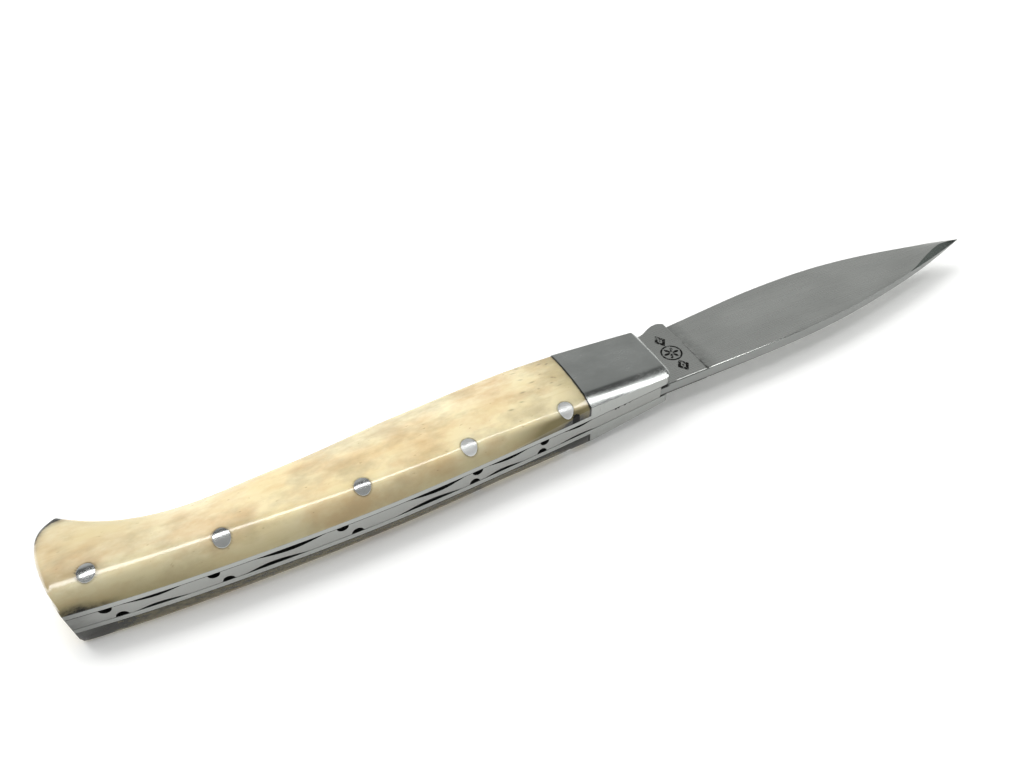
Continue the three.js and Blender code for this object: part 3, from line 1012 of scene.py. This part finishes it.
RICASSO_HALF = SLOT_HALF - 0.08
RICASSO_CORNER = 0.05
PLUNGE = (28.7, 29.7)
PLUNGE_GROOVE = 0.11
GROOVE_WIDTH = 0.32
TANG_FLAT = 4.7
CAM_RADIUS = 5.7
CAM_POINTS = 40
TANG_BELLY = (19.6, 16.1)
TANG_SPINE_Y = 0.9
BLADE_ACROSS = 26
SWEDGE_START = 91
TIP_X = BLADE_SPINE[-1][0]
STATION_RUNS = [(21.0, 28.6, 40), (28.7, 30.4, 24), (30.7, 104, 150), (104.3, TIP_X, 60)]
# Half thickness at the ridge beside the spine and at the spine, and the width of the facet between them.
RIDGE_HALF = [(PLUNGE[1], 1.34), (60, 1.24), (85, 1.02), (100, 0.74), (110, 0.42), (TIP_X, 0.1)]
SPINE_HALF = [(PLUNGE[1], 1.28), (45, 1.24), (60, 1.2), (85, 0.98), (91, 0.9), (97, 0.74), (103, 0.5),
              (108, 0.25), (TIP_X, 0.04)]
SPINE_FACET = [(PLUNGE[1], 0.14), (45, 0.16), (60, 0.4), (80, 0.6), (88, 0.4), (91, 0.1), (94, 0.5),
               (97, 1.1), (100, 1.6), (103, 1.95), (106, 2.0), (109.5, 1.2), (TIP_X, 0.02)]
MOST_FACET = 0.55
EDGE_HALF = 0.045
GRIND_BULGE = 0.05
# The plunge groove is shallower where the blade is thinner than this half thickness.
GROOVE_FULL_HALF = 0.5
GROUND, SPINE, SWEDGE = 0, 1, 2


def blade_section(x):
    """One closed section of the blade: its upper half from spine to edge, then its lower half back."""
    spine = blade_spine_at(x)[0]
    belly = kick_at(x)[0] if x < KICK_LINE[-1][0] else blade_edge_at(x)[0]
    width = max(belly - spine, 0.02)
    facet = min(ramp(x, SPINE_FACET), MOST_FACET * width)
    ridge_half = ramp(x, RIDGE_HALF)
    across = np.linspace(0, 1, BLADE_ACROSS)
    y = np.concatenate([[spine], spine + facet + (width - facet) * across])
    grind = ridge_half + (EDGE_HALF - ridge_half) * across + GRIND_BULGE * np.sin(across * math.pi)
    ground = np.concatenate([[ramp(x, SPINE_HALF)], grind])
    flat = np.full_like(ground, RICASSO_HALF)
    flat[0] = RICASSO_HALF - RICASSO_CORNER
    blend = smooth_step((x - PLUNGE[0]) / (PLUNGE[1] - PLUNGE[0]))
    groove = PLUNGE_GROOVE * gauss(x - sum(PLUNGE) / 2, GROOVE_WIDTH)
    groove = groove * np.minimum(1, ground / GROOVE_FULL_HALF)
    upper = np.column_stack([np.full_like(y, x), y, flat + (ground - flat) * blend - groove])
    return np.vstack([upper, upper[::-1] * (1, 1, -1)])


def tang_outline():
    """The tang in plan, from the ricasso's belly round the cam to the stop shoulder at the spine."""
    px, py = PIVOT
    flat_end = math.acos(TANG_FLAT / CAM_RADIUS)
    turn = np.linspace(math.pi / 2 + flat_end, 1.5 * math.pi - flat_end, CAM_POINTS)
    cam = np.column_stack([px + CAM_RADIUS * np.cos(turn), py + CAM_RADIUS * np.sin(turn)])
    return np.vstack([TANG_BELLY, cam, (STOP_X, py - TANG_FLAT), (STOP_X, TANG_SPINE_Y)])


def loft_slots(stations, size):
    """Material of each face between the sections: the ground sides, the spine, and the swedge beside it."""
    slots = np.full((len(stations) - 1, size), GROUND)
    slots[:, size - 1] = SPINE
    slots[(stations < SWEDGE_START).sum():, [0, size - 2]] = SWEDGE
    return slots.reshape(-1).tolist()


def tang_faces(size, top, count):
    """The tang's walls, with the one at the spine last, and then its upper and lower sides."""
    upper_row = list(range(size // 2))
    lower_row = list(range(size - 1, size // 2 - 1, -1))
    upper_tang = list(range(top, top + count))
    lower_tang = list(range(top + count, top + 2 * count))
    above = [upper_row[-1], *upper_tang, upper_row[0]]
    below = [lower_row[-1], *lower_tang, lower_row[0]]
    walls = list(zip(above, below, below[1:], above[1:]))
    return walls, [tuple(upper_row + upper_tang), tuple((lower_row + lower_tang)[::-1])]


def make_blade():
    """The blade, lofted from ricasso to tip, with the tang as a flat plate behind it."""
    stations = np.concatenate([np.linspace(*run) for run in STATION_RUNS])
    sections = [blade_section(x) for x in stations]
    size = len(sections[0])
    tang = tang_outline()
    count = len(tang)
    vertices = np.vstack([
        *sections,
        np.column_stack([tang, np.full(count, RICASSO_HALF)]),
        np.column_stack([tang, np.full(count, -RICASSO_HALF)]),
    ])
    top = len(stations) * size
    faces = [tuple(f) for f in ring_faces(len(stations), size)]
    tip = tuple(range(top - size, top))
    walls, sides = tang_faces(size, top, count)
    slots = loft_slots(stations, size) + [GROUND] * len(walls) + [SPINE] + [GROUND] * len(sides)
    materials = [blade_steel, spine_steel, shaded_swedge_steel]
    return add_mesh("ground_blade", vertices, faces + [tip] + walls + sides, materials, slots, sharp=12)


place_piece(make_blade(), "blade", "blade")

# ---------------------------------------------------------------- camera, floor and light

CAMERA_PLACE = (-56.13, -88.26, 116.62)
CAMERA_AIM = (-5.71, 23.33, 0)
CAMERA_ROLL = -2.866
LENS = 27.07
FLOOR_HALF = 4.0
FLOOR_GAP = 0.02 * MM
BACKDROP_RADIUS = 3.5
UNSEEN_BY = ("diffuse", "glossy", "transmission", "volume_scatter", "shadow")
WINDOW_GAIN = 0.5
WORLD_HORIZON = (0.82, 0.82, 0.81, 1)
# Grey of the world from the horizon ahead (0) over the top to the one behind (1), as (place, grey).
WORLD_GREYS = [(0.0, 0.55), (0.16, 0.46), (0.34, 0.41), (0.38, 0.1), (0.46, 0.09), (0.52, 0.37),
               (0.68, 0.4), (1.0, 0.45)]


def floor_material():
    """A pale floor that glows, more with distance, so that it stays even to the horizon."""
    s = Shader("pale_floor")
    s.set(Base_Color=s.mix(s.noise(0.01), rgb(245, 245, 244), rgb(249, 249, 248)), Roughness=0.6)
    away = s.node("ShaderNodeVectorMath", {"operation": "LENGTH"}, {0: s.place}).outputs["Value"]
    s.set(Emission_Color=WHITE, Emission_Strength=s.range(away, 250, 800, 0.1, 1.0))
    return s.material


def backdrop_material():
    """An even white that no light changes."""
    s = Shader("pale_backdrop")
    s.set(Base_Color=BLACK, Specular_IOR_Level=0.0)
    s.set(Emission_Color=s.mix(s.noise(0.01), rgb(254, 254, 254), WHITE), Emission_Strength=1.0)
    return s.material


def add_object(name, data):
    thing = bpy.data.objects.new(name, data)
    bpy.context.scene.collection.objects.link(thing)
    return thing


def make_floor():
    mesh = bpy.data.meshes.new("floor")
    corners = [(x * FLOOR_HALF, y * FLOOR_HALF, 0) for x, y in ((-1, -1), (1, -1), (1, 1), (-1, 1))]
    mesh.from_pydata(corners, [], [(0, 1, 2, 3)])
    mesh.materials.append(floor_material())
    floor = add_object("floor", mesh)
    floor.location.z = cad_low.z - FLOOR_GAP


def make_backdrop():
    """A pale dome that only the camera sees, so it changes neither the light nor the reflections."""
    mesh = bpy.data.meshes.new("backdrop")
    work = bmesh.new()
    bmesh.ops.create_uvsphere(work, u_segments=48, v_segments=24, radius=BACKDROP_RADIUS)
    work.to_mesh(mesh)
    work.free()
    mesh.materials.append(backdrop_material())
    dome = add_object("backdrop", mesh)
    for ray in UNSEEN_BY:
        setattr(dome, f"visible_{ray}", False)


def looking(place, aim, upward):
    """Matrix of a thing at a place that looks at an aim, with its top toward upward."""
    back = np.array(place, float) - np.array(aim, float)
    back /= np.linalg.norm(back)
    right = np.cross(upward, back)
    right /= np.linalg.norm(right)
    turn = Matrix([right, np.cross(back, right), back]).transposed().to_4x4()
    return Matrix.Translation(place) @ turn


def over_floor(x, y, height):
    """A point in the frame, from X and Y in plan and a height over the frame's zero, in millimetres."""
    place = to_frame((x, y, 0))
    place[2] = height * MM
    return place


def make_camera():
    data = bpy.data.cameras.new("camera")
    data.lens = LENS
    data.sensor_width = 36
    data.clip_start = 0.005
    data.clip_end = 20
    camera = add_object("camera", data)
    level = looking(over_floor(*CAMERA_PLACE), over_floor(*CAMERA_AIM), (0, 0, 1))
    camera.matrix_world = level @ Matrix.Rotation(math.radians(CAMERA_ROLL), 4, "Z")
    bpy.context.scene.camera = camera


def add_light(name, place, aim, size, watts, in_gloss):
    """An area light that shows only in the gloss of the pieces, or one that lights all but their gloss."""
    data = bpy.data.lights.new(name, "AREA")
    data.shape = "RECTANGLE"
    data.size, data.size_y = size
    data.energy = watts
    light = add_object(name, data)
    light.visible_glossy = in_gloss
    light.visible_diffuse = not in_gloss
    light.matrix_world = looking(place, aim, (0, 1, 0))


def make_world():
    """A grey studio: mid grey ahead of the camera, darker overhead, and a pale window at the far left."""
    world = bpy.data.worlds.new("studio")
    bpy.context.scene.world = world
    world.use_nodes = True
    w = Nodes(world.node_tree)
    background = next(n for n in w.tree.nodes if n.type == "BACKGROUND")
    x, y, z = w.split(w.node("ShaderNodeTexCoord").outputs["Generated"])
    over_the_top = w.range(w.math("ARCTAN2", z, y), 0, math.pi)
    greys = w.node("ShaderNodeValToRGB", None, {0: over_the_top})
    stops = greys.color_ramp.elements
    while len(stops) < len(WORLD_GREYS):
        stops.new(0.5)
    for stop, (position, grey) in zip(stops, WORLD_GREYS):
        stop.position = position
        stop.color = (grey, grey * 1.01, grey * 0.995, 1)
    low_down = w.range(z, 0.04, 0.24, 1.0, 0.0)
    w.put(background.inputs["Color"], w.mix(low_down, greys.outputs[0], WORLD_HORIZON))
    window = w.math("MULTIPLY", w.range(x, 0.35, 0.05), w.range(y, 0.1, 0.35))
    w.put(background.inputs["Strength"], w.math("MULTIPLY_ADD", window, WINDOW_GAIN, 1.0))


make_camera()
make_floor()
make_backdrop()
make_world()
add_light("strip", (0.1, -0.06, 0.5), (0.1, 0, 0), (0.95, 0.07), 1.2, in_gloss=True)
add_light("overhead", (-0.05, 0.1, 0.9), (-0.05, 0, 0), (0.9, 0.7), 4.1, in_gloss=False)
add_light("back", (-0.2, 0.5, 0.87), (0, 0, 0), (0.8, 0.5), 5.6, in_gloss=False)
bpy.context.scene.view_settings.view_transform = "Standard"
bpy.context.scene.view_settings.look = "None"
